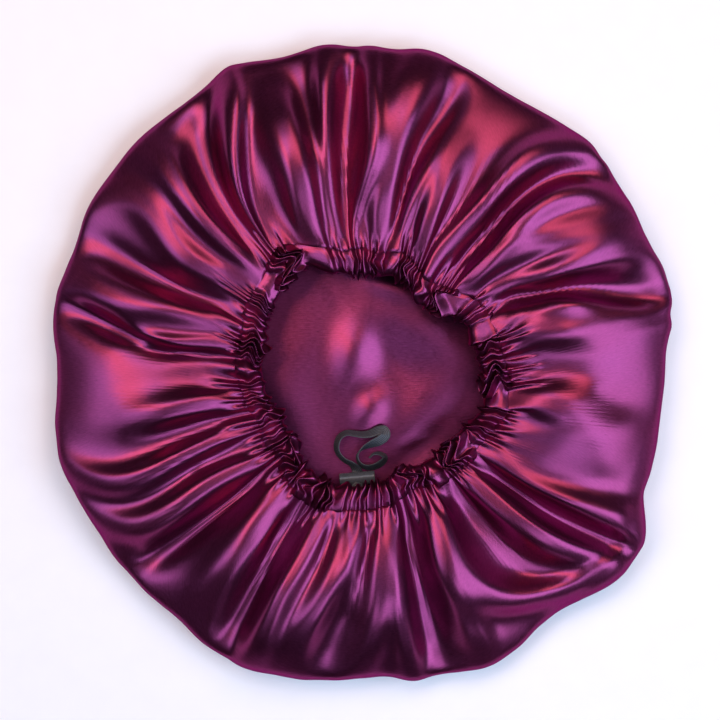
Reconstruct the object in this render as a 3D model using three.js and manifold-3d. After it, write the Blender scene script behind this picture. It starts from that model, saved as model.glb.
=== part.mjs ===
// Satin sleep bonnet, laid crown down with its gathered mouth upwards.
// Millimetres, +Z up. X and Y lie in the surface that the bonnet rests on.
import * as THREE from "three";
import { mergeVertices } from "three/addons/utils/BufferGeometryUtils.js";
import Module from "manifold-3d";

const wasm = await Module();
wasm.setup();

// ---- Driving dimensions -------------------------------------------------------------------

const CLOTH = 1.2; // wall of the outer layer
const LINING = 1.0; // wall of the inner layer
const LAYER_GAP = 0.9; // between the two layers
const SEAM_GAP = 0.6; // between either layer and the casing it is gathered onto

const MOUTH = { x: 4.6, y: -11 }; // centre of the mouth, a little off the middle of the crown
const MOUTH_RADIUS = 62; // inner edge of the casing
const CASING_WIDTH = 19; // across the casing, from the mouth to the gathering seam
const CASING_HEIGHT = 28; // middle of the casing above the surface
const CASING_THICK = 11; // from the underside of the casing to its top, between pleats
const CASING_PLEATS = 32;
const PLEAT_RISE = 2.4;

const ELASTIC = { width: 6.2, thick: 1.1 };
const STOPPER = { radius: 3.85, length: 20.7, chamfer: 0.5, slotClearance: 1.15, turn: 4, tip: -37 };

const RIM_HEIGHT = 14; // where the bonnet is widest
const CREST_HEIGHT = 40; // top of the roll of cloth, between folds
const CREST_SHARE = 0.5; // how far from the rim to the casing the roll is highest
const LYING_EDGE = 24; // the crown lies flat to this far inside the rim

const SEAM_RADIUS = MOUTH_RADIUS + CASING_WIDTH;
const ROLL_ROWS = [0, 0.06, 0.17, 0.33, 0.52, 0.72, 0.87, 1]; // shares of the way in from the rim
const LINING_ROWS = [0, 0.06, 0.17, 0.52, 1];

// The rim seen from above: direction in degrees, anticlockwise from +X, and distance from the middle.
const RIM = [
  { at: 0, out: 176 }, { at: 14, out: 185.5 }, { at: 24, out: 179 }, { at: 43, out: 183.5 },
  { at: 60, out: 178 }, { at: 78, out: 185 }, { at: 84, out: 183 }, { at: 98, out: 186 },
  { at: 105, out: 184.5 }, { at: 114, out: 188.5 }, { at: 124, out: 183.5 }, { at: 150, out: 183.5 },
  { at: 162, out: 180.5 }, { at: 170, out: 183 }, { at: 180, out: 177 }, { at: 198, out: 184 },
  { at: 209, out: 182 }, { at: 222, out: 184.5 }, { at: 234, out: 183.5 }, { at: 245, out: 190 },
  { at: 258, out: 187 }, { at: 273, out: 182.5 }, { at: 282, out: 188 }, { at: 294, out: 191 },
  { at: 307, out: 184 }, { at: 326, out: 195 }, { at: 336, out: 179 }, { at: 352, out: 175.5 },
];

// The main folds, one row each: the direction of its crest at the rim, half way in and at the casing,
// and its height there above the roll of cloth.
const FOLDS = [
  { rim: 5, mid: 11, seam: 8, rimUp: 0, midUp: 6, seamUp: 4 },
  { rim: 17, mid: 25, seam: 28, rimUp: 4, midUp: 7, seamUp: 6 },
  { rim: 33, mid: 37, seam: 37, rimUp: 3, midUp: 8, seamUp: 5 },
  { rim: 47, mid: 52, seam: 53, rimUp: 3, midUp: 8, seamUp: 6 },
  { rim: 62, mid: 65, seam: 66, rimUp: 2, midUp: 2, seamUp: 6 },
  { rim: 78, mid: 82, seam: 80, rimUp: 4, midUp: 7, seamUp: 4 },
  { rim: 89, mid: 89, seam: 92, rimUp: 3, midUp: 5, seamUp: 5 },
  { rim: 98, mid: 96, seam: 99, rimUp: 3, midUp: 1, seamUp: 4 },
  { rim: 106, mid: 105, seam: 107, rimUp: 3, midUp: 9, seamUp: 6 },
  { rim: 110, mid: 114, seam: 118, rimUp: 1, midUp: 5, seamUp: 5 },
  { rim: 115, mid: 124, seam: 128, rimUp: 5, midUp: 6, seamUp: 5 },
  { rim: 134, mid: 137, seam: 138, rimUp: 3, midUp: 7, seamUp: 5 },
  { rim: 148, mid: 150, seam: 152, rimUp: 4, midUp: 7, seamUp: 6 },
  { rim: 163, mid: 164, seam: 161, rimUp: 2, midUp: 4, seamUp: 5 },
  { rim: 171, mid: 173, seam: 170, rimUp: 4, midUp: 4, seamUp: 5 },
  { rim: 186, mid: 183, seam: 181, rimUp: 3, midUp: 6, seamUp: 4 },
  { rim: 197, mid: 194, seam: 190, rimUp: 2, midUp: 5, seamUp: 5 },
  { rim: 204, mid: 206, seam: 201, rimUp: 4, midUp: 6, seamUp: 6 },
  { rim: 212, mid: 218, seam: 218, rimUp: 4, midUp: 8, seamUp: 5 },
  { rim: 223, mid: 225, seam: 227, rimUp: 4, midUp: 3, seamUp: 4 },
  { rim: 236, mid: 238, seam: 236, rimUp: 1, midUp: 7, seamUp: 6 },
  { rim: 244, mid: 247, seam: 247, rimUp: 5, midUp: 4, seamUp: 4 },
  { rim: 251, mid: 253, seam: 256, rimUp: 3, midUp: 6, seamUp: 5 },
  { rim: 259, mid: 261, seam: 265, rimUp: 4, midUp: 7, seamUp: 5 },
  { rim: 270, mid: 273, seam: 275, rimUp: 2, midUp: 6, seamUp: 5 },
  { rim: 280, mid: 279, seam: 282, rimUp: 4, midUp: 5, seamUp: 4 },
  { rim: 291, mid: 286, seam: 289, rimUp: 4, midUp: 4, seamUp: 4 },
  { rim: 301, mid: 293, seam: 296, rimUp: 1, midUp: 5, seamUp: 5 },
  { rim: 312, mid: 301, seam: 303, rimUp: 4, midUp: 9, seamUp: 5 },
  { rim: 320, mid: 315, seam: 313, rimUp: 2, midUp: 6, seamUp: 6 },
  { rim: 326, mid: 322, seam: 321, rimUp: 6, midUp: 5, seamUp: 5 },
  { rim: 333, mid: 329, seam: 328, rimUp: 3, midUp: 6, seamUp: 4 },
  { rim: 345, mid: 340, seam: 336, rimUp: 2, midUp: 6, seamUp: 3 },
  { rim: 356, mid: 353, seam: 348, rimUp: 1, midUp: 7, seamUp: 6 },
];

// Soft swells in the crown, seen through the mouth: middle, half length, half width, turn and height.
const SWELLS = [
  { x: 34, y: 22, long: 34, wide: 13, turn: -38, up: 3.5 },
  { x: 36, y: -20, long: 32, wide: 11, turn: 55, up: 3.2 },
  { x: -10, y: 28, long: 30, wide: 9, turn: 86, up: 2.6 },
  { x: -34, y: 6, long: 26, wide: 14, turn: 70, up: 1.8 },
];

// The free end of the elastic: a point on its middle line, and the lean of its width
// from standing on edge (0) to lying flat (90).
const TAIL = [
  { x: -3.4, y: -79.5, z: 28.0, lean: 90 }, { x: -3.4, y: -76.6, z: 28.0, lean: 90 },
  { x: -3.4, y: -74.2, z: 27.5, lean: 90 }, { x: -3.4, y: -72.4, z: 22.0, lean: 90 },
  { x: -3.3, y: -72.2, z: 15.6, lean: 90 }, { x: -3.2, y: -71.2, z: 10.6, lean: 90 },
  { x: -3.1, y: -67.6, z: 7.6, lean: 90 }, { x: -3.2, y: -64.7, z: 5.6, lean: 88 },
  { x: -3.9, y: -62.2, z: 6.0, lean: 60 }, { x: -6.6, y: -59.4, z: 7.2, lean: 32 },
  { x: -11.0, y: -57.0, z: 7.2, lean: 24 }, { x: -14.6, y: -53.0, z: 7.2, lean: 26 },
  { x: -15.4, y: -48.2, z: 7.2, lean: 30 }, { x: -13.6, y: -43.6, z: 7.2, lean: 30 },
  { x: -9.6, y: -41.2, z: 7.2, lean: 28 }, { x: -5.0, y: -41.6, z: 7.2, lean: 30 },
  { x: -0.4, y: -42.2, z: 7.2, lean: 34 }, { x: 4.4, y: -41.6, z: 7.3, lean: 42 },
  { x: 8.8, y: -39.9, z: 7.6, lean: 54 }, { x: 12.2, y: -39.8, z: 8.4, lean: 66 },
  { x: 13.0, y: -42.6, z: 9.4, lean: 70 }, { x: 9.6, y: -45.6, z: 9.6, lean: 66 },
  { x: 4.6, y: -47.9, z: 8.4, lean: 42 }, { x: -0.2, y: -50.4, z: 7.4, lean: 14 },
  { x: -3.2, y: -54.2, z: 7.2, lean: -6 }, { x: -2.2, y: -58.6, z: 7.2, lean: -16 },
  { x: 1.6, y: -61.2, z: 7.2, lean: -28 }, { x: 6.4, y: -61.0, z: 7.2, lean: -36 },
  { x: 11.0, y: -58.6, z: 7.2, lean: -38 }, { x: 13.0, y: -55.6, z: 7.2, lean: -26 },
  { x: 10.4, y: -53.4, z: 7.2, lean: -14 }, { x: 6.4, y: -53.4, z: 7.2, lean: -6 },
  { x: 3.6, y: -55.8, z: 7.2, lean: 0 },
];
const TAIL_STEPS = 76;

const COLOURS = {
  satin: new THREE.Color().setRGB(0.22, 0.03, 0.12),
  elastic: new THREE.Color().setRGB(0.02, 0.02, 0.025),
  plastic: new THREE.Color().setRGB(0.03, 0.03, 0.035),
};
const satin = new THREE.MeshStandardMaterial({ color: COLOURS.satin, roughness: 0.35, metalness: 0.3 });
const braid = new THREE.MeshStandardMaterial({ color: COLOURS.elastic, roughness: 0.7, metalness: 0 });
const plastic = new THREE.MeshStandardMaterial({ color: COLOURS.plastic, roughness: 0.3, metalness: 0 });

// ---- Shared shape functions -----------------------------------------------------------------

const radians = THREE.MathUtils.degToRad;
const lerp = THREE.MathUtils.lerp;
const turn = 360;
const wrap = (degrees) => ((degrees % turn) + turn) % turn;
const ease = (x) => x * x * (3 - 2 * x);

// Distance to the rim in a direction: eased from each row of the table to the next.
function rimRadius(direction) {
  const at = wrap(direction);
  let next = RIM.findIndex((row) => row.at > at);
  if (next < 0) next = RIM.length;
  const a = RIM[next - 1];
  const b = RIM[next % RIM.length];
  const span = wrap(b.at - a.at);
  return lerp(a.out, b.out, ease((at - a.at) / span));
}

// Distance from the middle of the crown to a circle round the mouth, in a direction.
function mouthCircle(direction, radius) {
  const along = MOUTH.x * Math.cos(radians(direction)) + MOUTH.y * Math.sin(radians(direction));
  return along + Math.sqrt(radius ** 2 - MOUTH.x ** 2 - MOUTH.y ** 2 + along ** 2);
}

// A value given at the rim, half way in and at the seam, on the parabola through the three.
function alongFold(share, rim, mid, seam) {
  const half = 1 - share;
  return rim * half * (1 - 2 * share) + 4 * mid * share * half + seam * share * (2 * share - 1);
}

// Direction and height of the cloth at a phase round the folds: whole numbers are crests, and the
// valleys between them keep the height of the roll.
function foldAt(phase, share) {
  const first = Math.floor(phase) % FOLDS.length;
  const part = phase - Math.floor(phase);
  const a = FOLDS[first];
  const b = FOLDS[(first + 1) % FOLDS.length];
  const lap = first + 1 === FOLDS.length ? turn : 0;
  const from = alongFold(share, a.rim, a.mid, a.seam);
  const to = alongFold(share, b.rim, b.mid, b.seam) + lap;
  const upA = alongFold(share, a.rimUp, a.midUp, a.seamUp);
  const upB = alongFold(share, b.rimUp, b.midUp, b.seamUp);
  const crest = 0.5 + 0.5 * Math.cos(2 * Math.PI * part);
  return { direction: lerp(from, to, part), lift: Math.max(lerp(upA, upB, part), 0) * crest };
}

// Height of the roll of cloth between rim and seam, before any fold.
function rollHeight(share, seamHeight) {
  if (share < CREST_SHARE) {
    const out = 1 - share / CREST_SHARE;
    return RIM_HEIGHT + (CREST_HEIGHT - RIM_HEIGHT) * Math.sqrt(1 - out ** 2);
  }
  return lerp(CREST_HEIGHT, seamHeight, ease((share - CREST_SHARE) / (1 - CREST_SHARE)));
}

// The folds rise out of the smooth rim over the first rows of the roll.
const foldStart = (share) => ease(Math.min(share / 0.17, 1));

// Height of the soft swells of the crown at a point.
function swellHeight(x, y) {
  return SWELLS.reduce((sum, s) => {
    const c = Math.cos(radians(s.turn));
    const n = Math.sin(radians(s.turn));
    const along = ((x - s.x) * c + (y - s.y) * n) / s.long;
    const across = ((y - s.y) * c - (x - s.x) * n) / s.wide;
    return sum + s.up * Math.exp(-(along ** 2) - across ** 2);
  }, 0);
}

const polar = (radius, direction, z) =>
  new THREE.Vector3(radius * Math.cos(radians(direction)), radius * Math.sin(radians(direction)), z);

// ---- Solid builders --------------------------------------------------------------------------

function geometryFrom(points, triangles) {
  const geometry = new THREE.BufferGeometry().setFromPoints(points);
  geometry.setIndex(triangles);
  geometry.computeVertexNormals();
  return geometry;
}

// Triangles between two rows of points that both run round, or along, in the same order.
function strip(triangles, rowA, rowB, count, closed) {
  const last = closed ? count : count - 1;
  for (let i = 0; i < last; i++) {
    const j = (i + 1) % count;
    triangles.push(rowA + i, rowA + j, rowB + i, rowB + i, rowA + j, rowB + j);
  }
}

// A cup of cloth: rings of points from the middle of the crown to the seam, given the wall's
// thickness. The inner face is the outer one moved along its own normals.
function clothShell(middle, rings, thickness) {
  const count = rings[0].length;
  const outer = [middle, ...rings.flat()];
  const triangles = [];
  for (let i = 0; i < count; i++) triangles.push(0, 1 + ((i + 1) % count), 1 + i);
  for (let k = 0; k + 1 < rings.length; k++) {
    const from = 1 + k * count;
    strip(triangles, from, from + count, count, true);
  }
  const skin = geometryFrom(outer, triangles);
  const normals = skin.getAttribute("normal");
  const inner = outer.map((p, i) =>
    p.clone().addScaledVector(new THREE.Vector3().fromBufferAttribute(normals, i), -thickness));
  const shift = outer.length;
  const all = [...triangles];
  for (let i = 0; i < triangles.length; i += 3) {
    all.push(triangles[i] + shift, triangles[i + 2] + shift, triangles[i + 1] + shift);
  }
  const edge = shift - count;
  strip(all, edge, shift + edge, count, true);
  return geometryFrom([...outer, ...inner], all);
}

// A bar through rings of points: closed into a loop, or with a flat cap at each end.
function bar(rings, closed) {
  const count = rings[0].length;
  const points = rings.flat();
  const triangles = [];
  const spans = closed ? rings.length : rings.length - 1;
  for (let k = 0; k < spans; k++) {
    strip(triangles, ((k + 1) % rings.length) * count, k * count, count, true);
  }
  if (!closed) {
    const last = (rings.length - 1) * count;
    for (let i = 1; i + 1 < count; i++) {
      triangles.push(0, i, i + 1, last, last + i + 1, last + i);
    }
  }
  return geometryFrom(points, triangles);
}

function solidOf(geometry) {
  const bare = geometry.clone();
  bare.deleteAttribute("normal");
  bare.deleteAttribute("uv");
  const merged = mergeVertices(bare, 1e-4);
  return new wasm.Manifold(new wasm.Mesh({
    numProp: 3,
    vertProperties: new Float32Array(merged.getAttribute("position").array),
    triVerts: new Uint32Array(merged.index.array),
  }));
}

function geometryOf(solid) {
  const mesh = solid.getMesh();
  const geometry = new THREE.BufferGeometry();
  geometry.setAttribute("position", new THREE.BufferAttribute(mesh.vertProperties, 3));
  geometry.setIndex(new THREE.BufferAttribute(mesh.triVerts, 1));
  geometry.computeVertexNormals();
  return geometry;
}

function named(name, geometry, material) {
  const mesh = new THREE.Mesh(geometry, material);
  mesh.name = name;
  return mesh;
}

// ---- Outer layer -----------------------------------------------------------------------------

// Rings of the cup, each with the same number of columns to a fold, starting on the first crest.
function foldedRing(columnsPerFold, place) {
  return Array.from({ length: FOLDS.length * columnsPerFold }, (_, i) => place(i / columnsPerFold));
}

// Crown flat on the surface, curling up to the rim, then over the roll and in to the seam, with
// every fold of the table: crest, flank, valley and flank.
function outerSatin() {
  const UNDER = [{ inset: LYING_EDGE, z: 0, lift: 0 }, { inset: 8, z: 3.6, lift: 0.15 }];
  const under = UNDER.map((row) => foldedRing(4, (phase) => {
    const { direction, lift } = foldAt(phase, 0);
    return polar(rimRadius(direction) - row.inset + lift * row.lift, direction, row.z);
  }));
  const over = ROLL_ROWS.map((share) => foldedRing(4, (phase) => {
    const { direction, lift } = foldAt(phase, share);
    const radius = lerp(rimRadius(direction), mouthCircle(direction, SEAM_RADIUS + SEAM_GAP), share);
    return polar(radius, direction, rollHeight(share, CASING_HEIGHT + 4) + lift * foldStart(share));
  }));
  return named("outer_satin", clothShell(new THREE.Vector3(), [...under, ...over], CLOTH), satin);
}

// ---- Inner layer -----------------------------------------------------------------------------

// The same cup one layer further in, with softer folds, two columns to each. Its crown swells
// softly where the mouth shows it.
function liningSatin() {
  const FLOOR = CLOTH + LAYER_GAP;
  const SOFTER = 0.3;
  const CROWN = [40, 80];
  const UNDER = [{ inset: LYING_EDGE + 3, z: FLOOR }, { inset: 10.5, z: FLOOR + 4.4 }];
  const SEAM_UNDER = CASING_HEIGHT - 2;
  const FULL_DROP = 0.17;
  const crown = CROWN.map((radius) => foldedRing(2, (phase) => {
    const p = polar(radius, foldAt(phase, 0).direction, FLOOR);
    return p.setZ(FLOOR + swellHeight(p.x, p.y));
  }));
  const under = UNDER.map((row) => foldedRing(2, (phase) => {
    const { direction } = foldAt(phase, 0);
    return polar(rimRadius(direction) - row.inset, direction, row.z);
  }));
  const over = LINING_ROWS.map((share) => foldedRing(2, (phase) => {
    const { direction, lift } = foldAt(phase, share);
    const rim = rimRadius(direction) - FLOOR - 1.7;
    const radius = lerp(rim, mouthCircle(direction, SEAM_RADIUS + SEAM_GAP), share);
    const drop = FLOOR * Math.min(share / FULL_DROP, 1);
    const fold = SOFTER * lift * foldStart(share);
    return polar(radius, direction, rollHeight(share, SEAM_UNDER + FLOOR) - drop + fold);
  }));
  const middle = new THREE.Vector3(0, 0, FLOOR + swellHeight(0, 0));
  return named("lining_satin", clothShell(middle, [...crown, ...under, ...over], LINING), satin);
}

// ---- Casing, with the elastic inside it ----------------------------------------------------

// Corners of a flat strip's section: across its width, and through its thickness.
const CORNERS = [[-1, -1], [1, -1], [1, 1], [-1, 1]];

// A point round the mouth: out from the mouth's centre, and up.
function aroundMouth(degrees, radius, z) {
  return polar(radius, degrees, z).add(new THREE.Vector3(MOUTH.x, MOUTH.y, 0));
}

// A gathered tube of cloth. Its top and edges ripple with the pleats, its channel stays even, and
// a buttonhole underneath lets the elastic out.
function gatheredCasing() {
  const COLUMNS_PER_PLEAT = 3;
  const half = { wide: CASING_WIDTH / 2, thick: CASING_THICK / 2 };
  const SECTION = [
    { across: -1, up: 0, ripple: 0 }, { across: -0.6, up: -0.9, ripple: -0.4 },
    { across: 0.55, up: -1, ripple: -0.4 }, { across: 1, up: 0, ripple: 0 },
    { across: 0.55, up: 1, ripple: 1 }, { across: -0.6, up: 0.9, ripple: 1 },
  ];
  const centre = MOUTH_RADIUS + half.wide;
  const count = CASING_PLEATS * COLUMNS_PER_PLEAT;
  const outside = Array.from({ length: count }, (_, i) => SECTION.map((s) => {
    const wave = Math.cos((2 * Math.PI * i) / COLUMNS_PER_PLEAT);
    const edge = s.ripple === 0 ? 0.8 * wave : 0;
    return aroundMouth((i * turn) / count, centre + s.across * (half.wide - 0.8) + edge,
      CASING_HEIGHT + s.up * half.thick + s.ripple * PLEAT_RISE * 0.5 * (1 + wave));
  }));
  const CHANNEL = { columns: 48, wide: ELASTIC.width / 2 + 1, thick: ELASTIC.thick / 2 + 0.7 };
  const channel = Array.from({ length: CHANNEL.columns }, (_, i) =>
    CORNERS.map(([a, b]) => aroundMouth((i * turn) / CHANNEL.columns,
      centre + a * CHANNEL.wide, CASING_HEIGHT + b * CHANNEL.thick)));
  const buttonhole = new THREE.BoxGeometry(ELASTIC.width + 3, half.wide + 4, 2 * CHANNEL.thick + 0.6);
  buttonhole.translate(TAIL[0].x, MOUTH.y - centre + half.wide / 2 + 2, CASING_HEIGHT - 0.6);
  const solid = solidOf(bar(outside, true))
    .subtract(solidOf(bar(channel, true)))
    .subtract(solidOf(buttonhole));
  return named("gathered_casing", geometryOf(solid), satin);
}

// The flat elastic in the channel, lying flat, from one side of the buttonhole round to the other.
function elasticRing() {
  const STEPS = 44;
  const BREAK = 12; // degrees left open over the buttonhole
  const exit = THREE.MathUtils.radToDeg(Math.atan2(TAIL[0].y - MOUTH.y, TAIL[0].x - MOUTH.x));
  const centre = MOUTH_RADIUS + CASING_WIDTH / 2;
  const rings = Array.from({ length: STEPS + 1 }, (_, i) => {
    const degrees = exit + BREAK / 2 + ((turn - BREAK) * i) / STEPS;
    return CORNERS.map(([a, b]) => aroundMouth(degrees,
      centre + (a * ELASTIC.width) / 2, CASING_HEIGHT + (b * ELASTIC.thick) / 2));
  });
  return named("elastic_ring", bar(rings, false), braid);
}

// ---- Free end and its stopper -----------------------------------------------------------------

// A flat band along the route, its width turned by the lean at each point.
function elasticTail() {
  const places = TAIL.map((p) => new THREE.Vector3(p.x, p.y, p.z));
  const route = new THREE.CatmullRomCurve3(places, false, "centripetal");
  const up = new THREE.Vector3(0, 0, 1);
  const rings = Array.from({ length: TAIL_STEPS + 1 }, (_, i) => {
    const at = (i / TAIL_STEPS) * (TAIL.length - 1);
    const row = Math.min(Math.floor(at), TAIL.length - 2);
    const lean = radians(lerp(TAIL[row].lean, TAIL[row + 1].lean, at - row));
    const point = route.getPoint(i / TAIL_STEPS);
    const tangent = route.getTangent(i / TAIL_STEPS);
    const side = new THREE.Vector3().crossVectors(tangent, up).normalize();
    const across = up.clone().multiplyScalar(Math.cos(lean)).addScaledVector(side, Math.sin(lean));
    across.addScaledVector(tangent, -across.dot(tangent)).normalize();
    const through = new THREE.Vector3().crossVectors(across, tangent).normalize();
    return CORNERS.map(([a, b]) => point.clone()
      .addScaledVector(across, (a * ELASTIC.width) / 2)
      .addScaledVector(through, (b * ELASTIC.thick) / 2));
  });
  return named("elastic_tail", bar(rings, false), braid);
}

// A plain barrel lying along X, with a slot through its middle for the elastic.
function stopper() {
  const { radius, length, chamfer, slotClearance } = STOPPER;
  const profile = [
    new THREE.Vector2(0, -length / 2), new THREE.Vector2(radius - chamfer, -length / 2),
    new THREE.Vector2(radius, -length / 2 + chamfer), new THREE.Vector2(radius, length / 2 - chamfer),
    new THREE.Vector2(radius - chamfer, length / 2), new THREE.Vector2(0, length / 2),
  ];
  const barrel = new THREE.LatheGeometry(profile, 24);
  barrel.rotateZ(-Math.PI / 2);
  const slotWide = ELASTIC.width + 2 * slotClearance;
  const slot = new THREE.BoxGeometry(slotWide, 4 * radius, ELASTIC.thick + 2 * slotClearance);
  slot.rotateX(radians(STOPPER.tip));
  const place = TAIL[6];
  const mesh = named("stopper", geometryOf(solidOf(barrel).subtract(solidOf(slot))), plastic);
  mesh.position.set(place.x, place.y, place.z);
  mesh.rotation.z = radians(STOPPER.turn);
  return mesh;
}

// ---- Assembly: the origin is on the surface, under the middle of the bonnet's outline --------

const bonnet = new THREE.Group();
bonnet.add(outerSatin(), liningSatin(), gatheredCasing(), elasticRing(), elasticTail(), stopper());
const outline = new THREE.Box3().setFromObject(bonnet);
bonnet.position.set(-(outline.min.x + outline.max.x) / 2, -(outline.min.y + outline.max.y) / 2, 0);

export default bonnet;
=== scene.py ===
import bpy
import numpy as np
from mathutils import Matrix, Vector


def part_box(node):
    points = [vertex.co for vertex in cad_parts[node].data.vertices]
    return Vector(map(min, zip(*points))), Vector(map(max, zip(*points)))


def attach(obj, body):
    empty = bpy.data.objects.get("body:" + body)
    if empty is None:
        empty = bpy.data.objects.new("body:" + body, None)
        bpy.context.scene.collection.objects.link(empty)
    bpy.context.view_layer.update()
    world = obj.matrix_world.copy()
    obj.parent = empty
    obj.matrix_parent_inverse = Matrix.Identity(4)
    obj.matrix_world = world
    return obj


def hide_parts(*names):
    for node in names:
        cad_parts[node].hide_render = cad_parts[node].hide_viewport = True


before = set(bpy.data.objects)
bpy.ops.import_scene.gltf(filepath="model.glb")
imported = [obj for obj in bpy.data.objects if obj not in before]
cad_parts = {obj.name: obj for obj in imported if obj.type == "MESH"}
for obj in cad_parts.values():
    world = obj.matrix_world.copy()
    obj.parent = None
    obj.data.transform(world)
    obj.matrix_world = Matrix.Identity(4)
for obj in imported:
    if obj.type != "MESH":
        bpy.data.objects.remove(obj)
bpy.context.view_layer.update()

MM = 0.001

# ---- Camera ---------------------------------------------------------------------------------
# It looks straight down on the bonnet from 0.95 m, with the bonnet a touch right of and below the
# middle of the frame, which is 0.418 m wide at the height of the rim.
VIEW_WIDTH = 0.4176
VIEW_HEIGHT = 0.95
RIM_HEIGHT = 0.014

camera_data = bpy.data.cameras.new("camera")
camera_data.sensor_width = 36
camera_data.lens = 36 * VIEW_HEIGHT / VIEW_WIDTH
camera = bpy.data.objects.new("camera", camera_data)
camera.location = (-0.0017, 0.0014, VIEW_HEIGHT + RIM_HEIGHT)
bpy.context.collection.objects.link(camera)
bpy.context.scene.camera = camera

# ---- Free end of the elastic ------------------------------------------------------------------
# Black braided elastic, 6 mm wide and 1 mm thick, with ribs of rubber cord along it. It comes out
# of a buttonhole in the casing, goes through the stopper, and lies on the lining in two loose
# curves, mostly on its edge, with one flat bend between them.
ELASTIC_WIDTH = 6.2 * MM
ELASTIC_THICK = 1.1 * MM
ELASTIC_RIBS = 6

# The middle line's places in millimetres from the frame's origin, and the lean of the band's width
# in degrees, from standing on edge (0) to lying flat (90).
TAIL = np.array([
    (-3.4, -79.5, 28.0, 90), (-3.4, -76.6, 28.0, 90), (-3.4, -74.2, 27.5, 90), (-3.4, -72.4, 22.0, 90),
    (-3.3, -72.2, 15.6, 90), (-3.2, -71.2, 10.6, 90), (-3.1, -67.6, 7.6, 90), (-3.2, -64.7, 5.6, 88),
    (-3.9, -62.2, 6.0, 60), (-6.6, -59.4, 7.2, 32), (-11.0, -57.0, 7.2, 24), (-14.6, -53.0, 7.2, 26),
    (-15.4, -48.2, 7.2, 30), (-13.6, -43.6, 7.2, 30), (-9.6, -41.2, 7.2, 28), (-5.0, -41.6, 7.2, 30),
    (-0.4, -42.2, 7.2, 34), (4.4, -41.6, 7.3, 42), (8.8, -39.9, 7.6, 54), (12.2, -39.8, 8.4, 66),
    (13.0, -42.6, 9.4, 70), (9.6, -45.6, 9.6, 66), (4.6, -47.9, 8.4, 42), (-0.2, -50.4, 7.4, 14),
    (-3.2, -54.2, 7.2, -6), (-2.2, -58.6, 7.2, -16), (1.6, -61.2, 7.2, -28), (6.4, -61.0, 7.2, -36),
    (11.0, -58.6, 7.2, -38), (13.0, -55.6, 7.2, -26), (10.4, -53.4, 7.2, -14), (6.4, -53.4, 7.2, -6),
    (3.6, -55.8, 7.2, 0),
], dtype=[(name, float) for name in ("x", "y", "z", "lean")])
TAIL_STEPS_EACH = 12
RIB_DEPTH = 0.34
YARN_BLACK = (0.010, 0.012, 0.015, 1)
# Painted highlight: the paler colour laid along the top of each rib of the elastic.
YARN_RIB_HIGHLIGHT = (0.15, 0.17, 0.20, 1)
YARN_FLUFF = (0.55, 0.6, 0.7, 1)

# A Wave texture of scale 1 turns by 20 radians in each metre.
WAVE_TURN = 20


def smooth_route(rows, steps):
    """A Catmull-Rom curve through the rows: each stretch is the cubic that leaves and meets its two
    rows along the line between their neighbours. Every column of the table is carried along."""
    before = np.vstack([2 * rows[0] - rows[1], rows[:-1]])[:-1]
    after = np.vstack([rows[2:], 2 * rows[-1] - rows[-2]])
    a, b = rows[:-1], rows[1:]
    t = (np.arange(steps) / steps)[:, None, None]
    curve = 0.5 * (2 * a + (b - before) * t + (2 * before - 5 * a + 4 * b - after) * t**2
                   + (3 * a - before - 3 * b + after) * t**3)
    return np.vstack([curve.transpose(1, 0, 2).reshape(-1, rows.shape[1]), rows[-1:]])


def unit(vectors):
    """Each vector divided by its own length."""
    return vectors / np.linalg.norm(vectors, axis=-1, keepdims=True)


def mesh_object(name, points, faces, uv=None):
    """A smooth-shaded mesh of points (n, 3) and faces, a list of index arrays (m, 3) or (m, 4), with
    one flat place (n, 2) for each point as its cloth map."""
    mesh = bpy.data.meshes.new(name)
    sizes = np.concatenate([np.full(len(f), f.shape[1]) for f in faces])
    corners = np.concatenate([f.ravel() for f in faces])
    mesh.vertices.add(len(points))
    mesh.vertices.foreach_set("co", points.ravel())
    mesh.loops.add(len(corners))
    mesh.loops.foreach_set("vertex_index", corners)
    mesh.polygons.add(len(sizes))
    mesh.polygons.foreach_set("loop_start", np.concatenate([[0], np.cumsum(sizes)[:-1]]))
    mesh.polygons.foreach_set("use_smooth", np.ones(len(sizes), dtype=bool))
    if uv is not None:
        mesh.uv_layers.new(name="cloth").data.foreach_set("uv", uv[corners].ravel())
    mesh.update(calc_edges=True)
    piece = bpy.data.objects.new(name, mesh)
    bpy.context.collection.objects.link(piece)
    return piece


def grid_faces(rows, columns, round_rows=False, round_columns=False):
    """Quads between the points of a grid numbered row by row; a round direction closes on itself."""
    index = np.arange(rows * columns).reshape(rows, columns)
    index = np.concatenate([index, index[:1]]) if round_rows else index
    index = np.concatenate([index, index[:, :1]], axis=1) if round_columns else index
    quads = np.stack([index[:-1, :-1], index[1:, :-1], index[1:, 1:], index[:-1, 1:]], axis=-1)
    return quads.reshape(-1, 4)


def new_material(name):
    """A node material with its shader and a function that adds a node, sets it and links it."""
    material = bpy.data.materials.new(name)
    material.use_nodes = True
    tree = material.node_tree
    shader = tree.nodes["Principled BSDF"]

    def add(kind, settings=None, values=None, links=None):
        node = tree.nodes.new(kind)
        for key, value in (settings or {}).items():
            setattr(node, key, value)
        for key, value in (values or {}).items():
            node.inputs[key].default_value = value
        for key, source in (links or {}).items():
            tree.links.new(source, node.inputs[key])
        return node

    return material, shader, add, tree.links.new


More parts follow.
